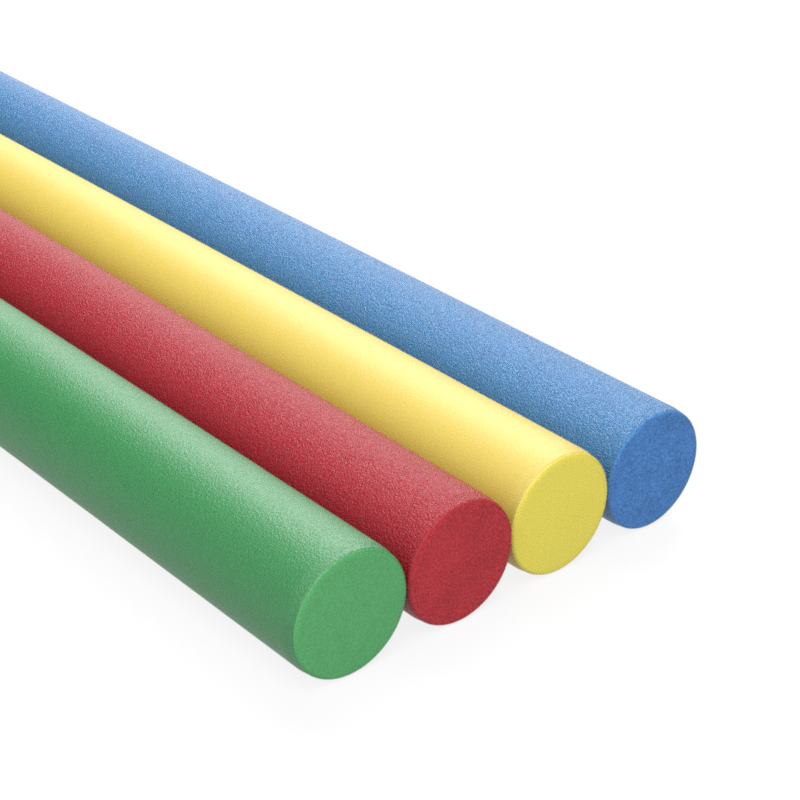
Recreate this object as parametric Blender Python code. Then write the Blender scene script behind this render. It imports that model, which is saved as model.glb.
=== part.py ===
"""Four loose swimming noodles lying side by side, touching, with their near ends almost flush.

Each noodle is one solid rod of closed-cell polyethylene foam, extruded round and cut to length. It has no bore.
The rods lie along Y. The near ends face -Y, and the row runs green, red, yellow, blue towards +X.
The origin is on the floor, under the middle of the row. Every size is in metres.
"""

import math

import bmesh
import bpy

# The foam rod, which is the same for all four colours.
noodle_diameter = 0.070
noodle_length = 1.600
edge_round = 0.0035  # the saw leaves the soft skin rolled over the rim of each end
foot_depth = 0.0005  # how far the rod's own weight presses its underside flat
side_gap = 0.0003  # clearance between neighbours

# How far each near end stands back from the green one.
red_setback = 0.0017
yellow_setback = 0.0047
blue_setback = 0.0068

# Facets: straight runs round the section, and runs across each rounded rim.
section_steps = 72
rim_steps = 4

noodle_radius = noodle_diameter / 2
row_pitch = noodle_diameter + side_gap
axis_height = noodle_radius - foot_depth

# Each noodle's name, colour (sRGB), and how far its near end stands back.
noodles = [
    ("noodle_green", (0.30, 0.64, 0.40), 0.0),
    ("noodle_red", (0.74, 0.20, 0.27), red_setback),
    ("noodle_yellow", (0.95, 0.86, 0.40), yellow_setback),
    ("noodle_blue", (0.28, 0.51, 0.77), blue_setback),
]

# The row's middle is over the origin, both across the rods and along them.
first_x = -row_pitch * (len(noodles) - 1) / 2
row_stagger = max(setback for name, colour, setback in noodles)


def clear_scene():
    for obj in list(bpy.data.objects):
        bpy.data.objects.remove(obj, do_unlink=True)


def linear(channel):
    """One sRGB channel, from 0 to 1, as the linear value that a shader takes."""
    if channel <= 0.04045:
        return channel / 12.92
    return ((channel + 0.055) / 1.055) ** 2.4


def foam(name, colour):
    """Closed-cell polyethylene foam with its matt extruded skin."""
    material = bpy.data.materials.new(name)
    material.use_nodes = True
    shader = material.node_tree.nodes["Principled BSDF"]
    shader.inputs["Base Color"].default_value = [linear(channel) for channel in colour] + [1]
    shader.inputs["Roughness"].default_value = 0.8
    shader.inputs["Metallic"].default_value = 0
    return material


def section_points():
    """The rod's round outline as (x, z) about its axis: one arc, closed by the pressed flat underneath."""
    half_flat_angle = math.acos(axis_height / noodle_radius)
    first_angle = -math.pi / 2 + half_flat_angle
    arc = 2 * (math.pi - half_flat_angle)
    points = []
    for step in range(section_steps + 1):
        angle = first_angle + arc * step / section_steps
        points.append((noodle_radius * math.cos(angle), noodle_radius * math.sin(angle)))
    return points


def rod_mesh(name):
    """The section as a face at the near end, extruded along Y about the middle of the rod's length."""
    shape = bmesh.new()
    near_y = -noodle_length / 2
    outline = [shape.verts.new((x, near_y, z)) for x, z in section_points()]
    near_face = shape.faces.new(outline)
    extruded = bmesh.ops.extrude_face_region(shape, geom=[near_face], use_keep_orig=True)
    far_points = [item for item in extruded["geom"] if isinstance(item, bmesh.types.BMVert)]
    bmesh.ops.translate(shape, verts=far_points, vec=(0, noodle_length, 0))
    bmesh.ops.recalc_face_normals(shape, faces=shape.faces)
    mesh = bpy.data.meshes.new(name)
    shape.to_mesh(mesh)
    shape.free()
    mesh.shade_smooth()
    return mesh


def round_the_rims(noodle):
    """A Bevel on the two end rims alone: no other edge of the rod turns by more than a few degrees."""
    rims = noodle.modifiers.new("rolled rims", "BEVEL")
    rims.width = edge_round
    rims.segments = rim_steps
    rims.limit_method = "ANGLE"
    rims.angle_limit = math.radians(60)
    rims.use_clamp_overlap = False
    rims.harden_normals = True


def make_noodle(name, colour, setback, column):
    """One rod in its place in the row, with its origin at the middle of its axis."""
    noodle = bpy.data.objects.new(name, rod_mesh(name))
    bpy.context.scene.collection.objects.link(noodle)
    noodle.data.materials.append(foam(name + "_foam", colour))
    round_the_rims(noodle)
    noodle.location = (first_x + row_pitch * column, setback - row_stagger / 2, axis_height)


clear_scene()
for column, (name, colour, setback) in enumerate(noodles):
    make_noodle(name, colour, setback, column)
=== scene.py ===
# %% [markdown]
# A set of four swimming noodles lies side by side on a studio table: green, red, yellow and blue.
# Each noodle is one solid rod of closed-cell polyethylene foam. It is squeezed hot through
# a round die, cooled until it has a thin skin, and sawn to length. There is no hole and no insert.
# The lesson models one rod with Blender's edit tools, copies it, and spends its effort on the
# surface: foam is told from hard plastic by its grain, its soft rim and the pale bloom on its top.

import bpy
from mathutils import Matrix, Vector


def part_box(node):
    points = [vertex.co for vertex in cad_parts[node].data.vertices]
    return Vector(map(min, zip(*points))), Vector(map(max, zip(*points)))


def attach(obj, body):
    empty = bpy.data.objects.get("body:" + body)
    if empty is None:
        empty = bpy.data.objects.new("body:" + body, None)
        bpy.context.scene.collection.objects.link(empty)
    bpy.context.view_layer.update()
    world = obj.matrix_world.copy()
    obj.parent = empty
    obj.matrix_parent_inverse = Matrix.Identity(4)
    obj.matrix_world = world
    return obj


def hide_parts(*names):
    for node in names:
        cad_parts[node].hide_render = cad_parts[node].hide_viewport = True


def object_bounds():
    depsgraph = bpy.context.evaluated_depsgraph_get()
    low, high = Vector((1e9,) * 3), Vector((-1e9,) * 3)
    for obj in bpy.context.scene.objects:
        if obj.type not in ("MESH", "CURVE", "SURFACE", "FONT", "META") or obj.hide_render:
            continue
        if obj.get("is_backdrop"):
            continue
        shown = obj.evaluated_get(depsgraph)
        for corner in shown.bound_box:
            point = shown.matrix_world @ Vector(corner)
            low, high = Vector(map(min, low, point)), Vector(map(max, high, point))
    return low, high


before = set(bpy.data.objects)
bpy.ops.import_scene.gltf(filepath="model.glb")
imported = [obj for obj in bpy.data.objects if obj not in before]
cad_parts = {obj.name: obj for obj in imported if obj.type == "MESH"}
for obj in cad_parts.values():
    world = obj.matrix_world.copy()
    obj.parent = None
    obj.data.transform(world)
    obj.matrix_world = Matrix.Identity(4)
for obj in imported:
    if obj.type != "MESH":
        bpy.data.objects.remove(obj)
cad_low, cad_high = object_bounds()

# %% [markdown]
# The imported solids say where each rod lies. Everything below is worked out from their boxes,
# so the dressed rods can't drift away from the solids that they stand for.
# All lengths are in metres, and the printed ones are in millimetres.

# %% Measure the rods
import math

import bmesh
import bpy
from mathutils import Matrix, Vector

mm = 1000
colours = ["green", "red", "yellow", "blue"]
boxes = {colour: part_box("noodle_" + colour) for colour in colours}

green_low, green_high = (Vector(corner) for corner in boxes["green"])
rod_radius = (green_high.x - green_low.x) / 2
rod_length = green_high.y - green_low.y
axis_x = (green_low.x + green_high.x) / 2
axis_height = green_high.z - rod_radius
pressed_depth = rod_radius - axis_height
print(f"rod: {2 * mm * rod_radius:.1f} mm across, {mm * rod_length:.0f} mm long,")
print(f"pressed {mm * pressed_depth:.2f} mm flat underneath")

# %% [markdown]
# The camera comes first, because it decides how much detail each surface needs.
# Its place was found by fitting a pinhole camera to the outlines of the four rods in
# the photograph. It stands to the left of the near ends and looks down on them, with a long
# portrait lens. The three turns are laid on one after another: round the upright, down, and roll.

# %% Camera
quarter_turn = math.radians(90)
camera_from_green_end = Vector((-0.4978, -0.6201, 0.5657))
camera_turn = math.radians(-40.27)
camera_down = math.radians(27.66)
camera_roll = math.radians(0.82)
lens_mm = 91.1
sensor_mm = 36
nearest_seen = 0.01

camera_data = bpy.data.cameras.new("studio camera")
camera_data.lens = lens_mm
camera_data.sensor_width = sensor_mm
camera_data.clip_start = nearest_seen
camera = bpy.data.objects.new("studio camera", camera_data)
bpy.context.scene.collection.objects.link(camera)
green_end_foot = Vector((axis_x, green_low.y, 0))
camera.matrix_world = (
    Matrix.Translation(green_end_foot + camera_from_green_end)
    @ Matrix.Rotation(camera_turn, 4, "Z")
    @ Matrix.Rotation(quarter_turn - camera_down, 4, "X")
    @ Matrix.Rotation(camera_roll, 4, "Z")
)
bpy.context.scene.camera = camera
print("camera at", [round(value, 3) for value in camera.location])

# %% [markdown]
# A foam rod is a cylinder only at first glance. Its rims are rolled over by the saw, its underside
# is pressed flat by its own weight, and its wall is a little uneven, because the foam swells
# freely once it leaves the die. It could be lofted from rings, or turned from a profile.
# A primitive shaped in edit mode is quicker to read, and leaves an even grid of faces for
# the later steps to bend.

# %% Start from a cylinder
faces_round = 144

bpy.ops.object.select_all(action="DESELECT")
bpy.ops.mesh.primitive_cylinder_add(
    vertices=faces_round,
    radius=rod_radius,
    depth=rod_length,
    location=(axis_x, (green_low.y + green_high.y) / 2, axis_height),
    rotation=(quarter_turn, 0, 0),
)
first_rod = bpy.context.object
first_rod.name = "foam_rod_green"
bpy.ops.object.transform_apply(location=True, rotation=True, scale=True)
print("cylinder:", len(first_rod.data.polygons), "faces")

# %% [markdown]
# Edit-mode operators act on what is selected. This helper clears the selection and then picks
# vertices, edges or faces by a test on their place, as a hand would with a box select.

# %% A helper that selects by place
def select_where(kind, test):
    """Selects the edit mesh's verts, edges or faces that pass the test, and nothing else."""
    bpy.ops.mesh.select_mode(type={"verts": "VERT", "edges": "EDGE", "faces": "FACE"}[kind])
    bpy.ops.mesh.select_all(action="DESELECT")
    mesh = bpy.context.object.data
    shape = bmesh.from_edit_mesh(mesh)
    for item in getattr(shape, kind):
        if test(item):
            item.select_set(True)
    shape.select_flush_mode()
    bmesh.update_edit_mesh(mesh)
    return sum(item.select for item in getattr(shape, kind))


print("edit-mode selections are made by place and size, in world metres")

# %% [markdown]
# The saw leaves a soft rim: the skin springs back and rolls over the cut by about two millimetres.
# A bevel with several segments makes that quarter round on both ends at once. The only long edges
# of the cylinder run from end to end, so its rim edges are the ones shorter than the radius.

# %% Roll the rims
rim_round = 0.0022
rim_steps = 5
round_profile = 0.5

bpy.ops.object.mode_set(mode="EDIT")
rim_edges = select_where("edges", lambda edge: edge.calc_length() < rod_radius)
bpy.ops.mesh.bevel(
    offset=rim_round,
    segments=rim_steps,
    profile=round_profile,
    affect="EDGES",
    clamp_overlap=False,
)
print("rolled_rim_painted_paler", rim_edges, "rim edges")

# %% [markdown]
# So far each side face runs the whole length. Cutting the long edges gives the wall something
# to swell and sag by, and Subdivide cuts them evenly, into a grid of four-sided faces. It makes
# no more than 100 cuts at a time, so it cuts half as many pieces first, and then each one in two.

# %% Cut the wall into rings
wall_rings = 160
ring_length = rod_length / wall_rings
ring_and_a_half = 1.5 * ring_length

long_edges = select_where("edges", lambda edge: edge.calc_length() > rod_length / 2)
bpy.ops.mesh.subdivide(number_cuts=wall_rings // 2 - 1)
select_where("edges", lambda edge: edge.calc_length() > ring_and_a_half)
bpy.ops.mesh.subdivide(number_cuts=1)
print(long_edges, "long edges, each cut into", wall_rings)

# %% [markdown]
# The saw drags the skin inwards before it cuts, so each rod tapers a little over its last few
# millimetres. The first ring at each end is cut finer, and the rolled rim is then scaled down
# with a smooth falloff behind it. A taper made with more rings all along would cost many faces.

# %% Pinch the ends
pinch = 0.0007
pinch_reach = 0.006
end_cuts = 5
past_the_rim = 1.01 * rim_round


def end_distance(vertex):
    """How far a vertex stands from the nearer end of the rod, in metres."""
    return min(vertex.co.y - green_low.y, green_high.y - vertex.co.y)


def lies_in_end_ring(edge):
    """Whether an edge is one of the long ones in the first ring of either end."""
    is_near = all(end_distance(vertex) < ring_and_a_half for vertex in edge.verts)
    return is_near and edge.calc_length() > ring_length / 2


end_edges = select_where("edges", lies_in_end_ring)
bpy.ops.mesh.subdivide(number_cuts=end_cuts)
squeeze = 1 - pinch / rod_radius
for end_y in (green_low.y, green_high.y):
    select_where("verts", lambda vertex: abs(vertex.co.y - end_y) < past_the_rim)
    bpy.ops.transform.resize(
        value=(squeeze, 1, squeeze),
        center_override=(axis_x, end_y, axis_height),
        use_proportional_edit=True,
        proportional_edit_falloff="SMOOTH",
        proportional_size=pinch_reach,
    )
print("pinched", mm * pinch, "mm at each end;", end_edges, "edges cut finer")

# %% [markdown]
# Each cut end is still one many-sided face, whose normal runs along the rod. Insetting it again
# and again lays rings inside it, and a last pull on the middle gives the cut the slight crown
# that squeezed foam springs back to.

# %% Ring and crown the cut ends
end_rings = 9
crown = 0.0003
quad_corners = 4
end_facing = 0.9
flat_radius = rod_radius - rim_round - pinch


def is_cap(face):
    """Whether a face is the many-sided one in the middle of a cut end."""
    return len(face.verts) > quad_corners and abs(face.normal.y) > end_facing


select_where("faces", is_cap)
for ring in range(end_rings):
    bpy.ops.mesh.inset(thickness=flat_radius / (end_rings + 1), depth=0, use_even_offset=False)
for outward in (-1, 1):
    select_where("faces", lambda face: is_cap(face) and face.normal.y * outward > 0)
    bpy.ops.transform.translate(
        value=(0, outward * crown, 0),
        use_proportional_edit=True,
        proportional_edit_falloff="SMOOTH",
        proportional_size=flat_radius,
    )
bpy.ops.mesh.select_all(action="SELECT")
bpy.ops.mesh.normals_make_consistent(inside=False)
bpy.ops.object.mode_set(mode="OBJECT")
print("one rod:", len(first_rod.data.polygons), "faces")

# %% [markdown]
# The four rods come off one line, so the first one is copied, and each copy gets its own mesh.
# They are moved into place before the next step, so that each one meets another stretch of
# unevenness.

# %% Copy the rod for the other colours
def pick_only(thing):
    """Selects one object and nothing else, and makes it the active one."""
    bpy.ops.object.select_all(action="DESELECT")
    thing.select_set(True)
    bpy.context.view_layer.objects.active = thing


rods = {"green": first_rod}
for colour in colours[1:]:
    pick_only(first_rod)
    bpy.ops.object.duplicate(linked=False)
    rod = bpy.context.object
    rod.name = "foam_rod_" + colour
    bpy.ops.transform.translate(value=Vector(boxes[colour][0]) - green_low)
    bpy.ops.object.transform_apply(location=True, rotation=True, scale=True)
    rods[colour] = rod
for rod in rods.values():
    rod.data.name = rod.name
print("rods:", ", ".join(rod.name for rod in rods.values()))

# %% [markdown]
# Foam swells freely as it leaves the die, so no rod is a perfect cylinder. A Displace modifier
# moves the wall in and out by a tenth of a millimetre along its normals: enough to bend the edge
# of a highlight, and too little to touch the next rod. The texture reads world places, so no two
# rods match. Whatever lies below the table top is then flattened onto its plane, which leaves
# the strip that each rod rests on.

# %% Make the wall slightly uneven
swell_size = 0.045
swell_depth = 0.00018
swell_octaves = 2
cloud_midlevel = 0.5

swell = bpy.data.textures.new("free swelling of the foam", "CLOUDS")
swell.noise_scale = swell_size
swell.noise_depth = swell_octaves
for rod in rods.values():
    pick_only(rod)
    displace = rod.modifiers.new("free swelling", "DISPLACE")
    displace.texture = swell
    displace.texture_coords = "GLOBAL"
    displace.strength = swell_depth
    displace.mid_level = cloud_midlevel
    bpy.ops.object.modifier_apply(modifier=displace.name)
    bpy.ops.object.mode_set(mode="EDIT")
    select_where("verts", lambda vertex: vertex.co.z < 0)
    bpy.ops.transform.resize(value=(1, 1, 0), center_override=(0, 0, 0))
    bpy.ops.object.mode_set(mode="OBJECT")
    bpy.ops.object.shade_smooth()
    print(rod.name, "is", len(rod.data.polygons), "faces")

# %% [markdown]
# Colours are written as the hex values that a paint program shows. Blender's shaders work in
# linear light, so one function turns the one into the other. Its numbers are the sRGB standard's.

# %% Colours
def linear(hex_colour):
    """An sRGB hex value such as "#559E64" as the linear RGBA that a shader takes."""
    channels = [int(hex_colour[i : i + 2], 16) / 255 for i in (1, 3, 5)]
    return [c / 12.92 if c <= 0.04045 else ((c + 0.055) / 1.055) ** 2.4 for c in channels] + [1]


print("sawn green in linear light:", [round(value, 3) for value in linear("#559E64")])

# %% [markdown]
# Material graphs are easier to read as code when one helper does the bookkeeping:
# it adds a node, sets its options, and gives each input a value or a link.

# %% A helper that adds a node
def add_node(tree, kind, inputs, **settings):
    """One node with its settings; each input takes a value, or the output socket that feeds it."""
    node = tree.nodes.new(kind)
    for name, value in settings.items():
        setattr(node, name, value)
    for name, value in inputs.items():
        if isinstance(value, bpy.types.NodeSocket):
            tree.links.new(value, node.inputs[name])
        else:
            node.inputs[name].default_value = value
    return node


print("an input takes a value or a link")

# %% [markdown]
# The colour of foam changes a little from cell to cell, where the wall between two cells is thick
# or thin, and more faintly over patches a finger wide, where the colouring mixed unevenly.
# One noise at each size is added up, and the sum lightens or darkens the colour. Most of the sum
# lies within 0.2 of its middle value, so that span is stretched over the whole change.

# %% Colour from cell to cell
mottle_size = 0.012
mottle_share = 0.25
mottle_detail = 2
fleck_detail = 1
noise_half_span = 0.2


def flecked(tree, place, colour, fleck, size):
    """The foam's colour, lighter or darker by the share fleck, in flecks this many metres wide."""
    cells = add_node(
        tree,
        "ShaderNodeTexNoise",
        {"Vector": place, "Scale": 1 / size, "Detail": fleck_detail},
    )
    patches = add_node(
        tree,
        "ShaderNodeTexNoise",
        {"Vector": place, "Scale": 1 / mottle_size, "Detail": mottle_detail},
    )
    both = add_node(
        tree,
        "ShaderNodeMath",
        {0: patches.outputs["Fac"], 1: mottle_share, 2: cells.outputs["Fac"]},
        operation="MULTIPLY_ADD",
    )
    middle = (1 + mottle_share) / 2
    shade = add_node(
        tree,
        "ShaderNodeMapRange",
        {
            "Value": both.outputs[0],
            "From Min": middle - noise_half_span,
            "From Max": middle + noise_half_span,
            "To Min": 1 - fleck,
            "To Max": 1 + fleck,
        },
        clamp=False,
    )
    tinted = add_node(
        tree,
        "ShaderNodeHueSaturation",
        {"Value": shade.outputs["Result"], "Color": linear(colour)},
    )
    return tinted.outputs["Color"]


print(f"patches of colour every {mm * mottle_size:.0f} mm,")
print(f"at {mottle_share:.0%} of the flecks' strength")

# %% [markdown]
# The grain that the eye reads as foam is the shadow in each dimple between the cells. Millions of
# tiny faces could make it. A Bump node turns a fine noise into such dimples without adding a face.
# It is strongest where light grazes the surface. The noise rolls more gently than real dimples do,
# so the depths given further down are larger than the real ones.

# %% Dimples
dimple_detail = 1


def dimpled(tree, place, depth, size):
    """The normals of a surface with shallow dimples, of this depth and size in metres."""
    pits = add_node(
        tree,
        "ShaderNodeTexNoise",
        {"Vector": place, "Scale": 1 / size, "Detail": dimple_detail},
    )
    bump = add_node(
        tree,
        "ShaderNodeBump",
        {"Height": pits.outputs["Fac"], "Strength": 1, "Distance": depth},
    )
    return bump.outputs["Normal"]


print("dimples are a bump, not faces")

# %% [markdown]
# All three finishes are closed-cell polyethylene foam, which bends light by 1.51. One function
# makes such a material from a finish's own values. Roughness, refraction and gloss are the same
# all over a finish in one colour, so they are set on the shader itself, where an export can
# find them.

# %% A foam material
polyethylene_ior = 1.51


def foam(finish, colour):
    """Closed-cell PE foam in one finish and one colour."""
    shades = finish["shades"][colour]
    material = bpy.data.materials.new("closed-cell PE foam, " + finish["made"] + ", " + colour)
    material.use_nodes = True
    tree = material.node_tree
    shader = tree.nodes["Principled BSDF"]
    place = add_node(tree, "ShaderNodeTexCoord", {}).outputs["Object"]
    base_colour = flecked(tree, place, shades["colour"], shades["fleck"], finish["fleck_size"])
    normal = dimpled(tree, place, shades["dimple"], finish["cell_size"])
    tree.links.new(base_colour, shader.inputs["Base Color"])
    tree.links.new(normal, shader.inputs["Normal"])
    shader.inputs["Roughness"].default_value = shades["roughness"]
    shader.inputs["IOR"].default_value = polyethylene_ior
    shader.inputs["Specular IOR Level"].default_value = shades["gloss"]
    return material


print("polyethylene's index of refraction:", polyethylene_ior)

# %% [markdown]
# Extruded skin: the outer cells collapse against the cool air and leave a thin matt skin, dimpled
# by the cells under it. To the eye that gives a velvety grain, a deep colour where the light comes
# straight at it, and a pale bloom along the top, where the studio is reflected at a low angle.
# The real cells are about half a millimetre wide, close to one pixel here, so they are drawn
# nearly twice as coarse. The colours foam a little differently: yellow comes out nearly smooth
# and the most matt, and blue has the deepest dimples.

# %% Extruded skin
skin = {
    "made": "extruded skin",
    "cell_size": 0.0009,
    "fleck_size": 0.0008,
    "shades": {
        "green": dict(colour="#1D6333", dimple=0.00050, fleck=0.08, gloss=0.62, roughness=0.50),
        "red": dict(colour="#7F0F1D", dimple=0.00105, fleck=0.10, gloss=0.30, roughness=0.45),
        "yellow": dict(colour="#A49137", dimple=0.00014, fleck=0.04, gloss=0.70, roughness=0.60),
        "blue": dict(colour="#235D8B", dimple=0.00140, fleck=0.12, gloss=0.61, roughness=0.46),
    },
}
skins = {colour: foam(skin, colour) for colour in colours}
print("skins:", ", ".join(material.name for material in skins.values()))

# %% [markdown]
# Sawn face: the blade opens the cells, and their torn walls scatter the light, so the cut is paler
# and duller than the skin, with flecks where a cell is open and almost no dimples. The flecks are
# drawn twice as coarse as the real cells, as the skin's are, or they would not show.

# %% Sawn face
cut = {
    "made": "sawn face",
    "cell_size": 0.0011,
    "fleck_size": 0.0011,
    "shades": {
        "green": dict(colour="#559E64", dimple=0.00020, fleck=0.08, gloss=0.18, roughness=0.75),
        "red": dict(colour="#A82F37", dimple=0.00030, fleck=0.34, gloss=0.18, roughness=0.75),
        "yellow": dict(colour="#DBCE57", dimple=0.00008, fleck=0.02, gloss=0.18, roughness=0.75),
        "blue": dict(colour="#4577B4", dimple=0.00035, fleck=0.28, gloss=0.18, roughness=0.75),
    },
}
cuts = {colour: foam(cut, colour) for colour in colours}
print("cuts:", ", ".join(material.name for material in cuts.values()))

# %% [markdown]
# Rolled rim: where the skin is dragged over the edge it is stretched thin and part torn, so its
# colour lies between the skin's and the cut's, and its cells are drawn out a little wider than
# either. Its paleness is also partly painted light: the rim colours are lighter than the skin so
# that the roll, which would otherwise show as a dark line, reads as a soft, slightly paler edge
# between the shaded wall and the cut, as light falling on the roll would make it.

# %% Rolled rim
rolled_rim_painted_paler = {
    "made": "rolled rim",
    "cell_size": 0.0012,
    "fleck_size": 0.0012,
    "shades": {
        # Painted light, in part: each rim colour is paler than its skin, standing in for light on
        # the roll.
        "green": dict(colour="#438B53", dimple=0.00035, fleck=0.08, gloss=0.40, roughness=0.65),
        "red": dict(colour="#94212C", dimple=0.00060, fleck=0.15, gloss=0.30, roughness=0.65),
        "yellow": dict(colour="#C8BA4C", dimple=0.00012, fleck=0.02, gloss=0.30, roughness=0.65),
        "blue": dict(colour="#3C70A8", dimple=0.00070, fleck=0.15, gloss=0.35, roughness=0.65),
    },
}
rims = {colour: foam(rolled_rim_painted_paler, colour) for colour in colours}
print("rims:", ", ".join(material.name for material in rims.values()))

# %% [markdown]
# Each face takes its finish from how far it leans towards an end. The wall and the first steps
# of the roll keep the skin, the next ones are rim, and the flat of the cut is sawn. A comparison
# that holds counts as 1, so the two below add up to the number of the finish: 0, 1 or 2.

# %% Give each rod its three finishes
rim_lean = math.radians(35)
cut_lean = math.radians(72)
finishes = (skins, rims, cuts)

for colour, rod in rods.items():
    rod.data.materials.clear()
    for finish in finishes:
        rod.data.materials.append(finish[colour])
    for face in rod.data.polygons:
        # Rounding can leave a normal a hair longer than 1, which asin would refuse.
        lean = math.asin(min(1, abs(face.normal.y)))
        face.material_index = (lean > rim_lean) + (lean > cut_lean)
    indexes = [face.material_index for face in rod.data.polygons]
    counts = [indexes.count(index) for index in range(len(finishes))]
    print(rod.name, "skin, rim and cut faces:", counts)

# %% [markdown]
# Each dressed rod rides on its body and stands for its solid, which is hidden.

# %% Tie the rods to the model
for colour, rod in rods.items():
    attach(rod, colour)
    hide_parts("noodle_" + colour)
    print(rod.name, "rides on", colour)

# %% [markdown]
# The studio table is a sheet of opal acrylic, satin on top and lit from below. To the eye it is
# plain white, and its own glow fills in nearly all of the shadow under the rods, as in
# the photograph. The glow isn't sampled as a lamp, because on a sheet this large that would only
# add noise. The sheet lies a hair below the rods, so that no two faces share one place.

# %% Table
table_size = 40
table_drop = 0.0001
table_grey = 0.05
table_glow = 0.86
satin_roughness = 0.8

bpy.ops.object.select_all(action="DESELECT")
bpy.ops.mesh.primitive_plane_add(size=table_size, location=(0, 0, -table_drop))
table = bpy.context.object
table.name = "studio_table"
opal = bpy.data.materials.new("opal acrylic, satin, lit from below")
opal.use_nodes = True
opal_shader = opal.node_tree.nodes["Principled BSDF"]
opal_shader.inputs["Base Color"].default_value = [table_grey, table_grey, table_grey, 1]
opal_shader.inputs["Roughness"].default_value = satin_roughness
opal_shader.inputs["Emission Color"].default_value = [1, 1, 1, 1]
opal_shader.inputs["Emission Strength"].default_value = table_glow
opal.cycles.emission_sampling = "NONE"
table.data.materials.append(opal)
table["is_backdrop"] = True
print("table:", table_size, "m across, glowing at", table_glow)

# %% [markdown]
# Four large softboxes light the rods. One high behind the camera lights the cut ends. Two at the
# far right, one high and one low, graze the tops and leave the pale bloom along them. A weaker one
# on the left opens up the near side of the green rod. Each is placed by its turn from the +X axis
# and its height angle, on a sphere around the near half of the rods, and shines at its middle.

# %% Softboxes
aim = Vector((0, -0.5, 0.03))
softbox_size = 2.2
softbox_distance = 3.0
softboxes = {
    "high softbox behind the camera": {"turn": 230, "height": 60, "watts": 136},
    "high softbox at the far right": {"turn": 44, "height": 52, "watts": 155},
    "low softbox at the far right": {"turn": 44, "height": 22, "watts": 32},
    "low softbox on the left": {"turn": 185, "height": 30, "watts": 60},
}
for name, setting in softboxes.items():
    turn, height = math.radians(setting["turn"]), math.radians(setting["height"])
    level = math.cos(height)
    towards_lamp = Vector((math.cos(turn) * level, math.sin(turn) * level, math.sin(height)))
    lamp_data = bpy.data.lights.new(name, "AREA")
    lamp_data.size = softbox_size
    lamp_data.energy = setting["watts"]
    lamp = bpy.data.objects.new(name, lamp_data)
    bpy.context.scene.collection.objects.link(lamp)
    lamp.location = aim + softbox_distance * towards_lamp
    lamp.rotation_mode = "QUATERNION"
    lamp.rotation_quaternion = towards_lamp.to_track_quat("Z", "Y")
    print(name, "at", [round(value, 2) for value in lamp.location], setting["watts"], "W")

# %% [markdown]
# Behind the table stands a pale wall, which only the camera sees, so that it adds no light of its
# own. It is as bright as the far end of the table, so that no horizon shows from a low angle.
# The picture is shown in plain sRGB. The denoiser is off, because it takes grain this fine for
# noise and smears it into wrinkles. The pixel filter is a little wide, which makes the picture
# as soft as the photograph.

# %% Wall and picture
pixel_filter = 2.0

wall = bpy.data.worlds.new("pale studio wall")
bpy.context.scene.world = wall
wall.use_nodes = True
wall_paint = wall.node_tree.nodes["Background"]
wall_paint.inputs["Color"].default_value = [table_glow, table_glow, table_glow, 1]
for ray in ("diffuse", "glossy", "transmission", "scatter"):
    setattr(wall.cycles_visibility, ray, False)
bpy.context.scene.view_settings.view_transform = "Standard"
bpy.context.scene.cycles.use_denoising = False
bpy.context.scene.cycles.filter_width = pixel_filter
print("shown as", bpy.context.scene.view_settings.view_transform)

# %% [markdown]
# The box of the dressed rods is printed beside the box of the imported solids, so that their
# sizes can be compared.

# %% Finish
visual_low, visual_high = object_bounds()
sizes = {"cad": [list(cad_low), list(cad_high)], "visual": [list(visual_low), list(visual_high)]}
for name, (low, high) in sizes.items():
    print(name, "box:", [round(mm * (b - a), 1) for a, b in zip(low, high)], "mm")
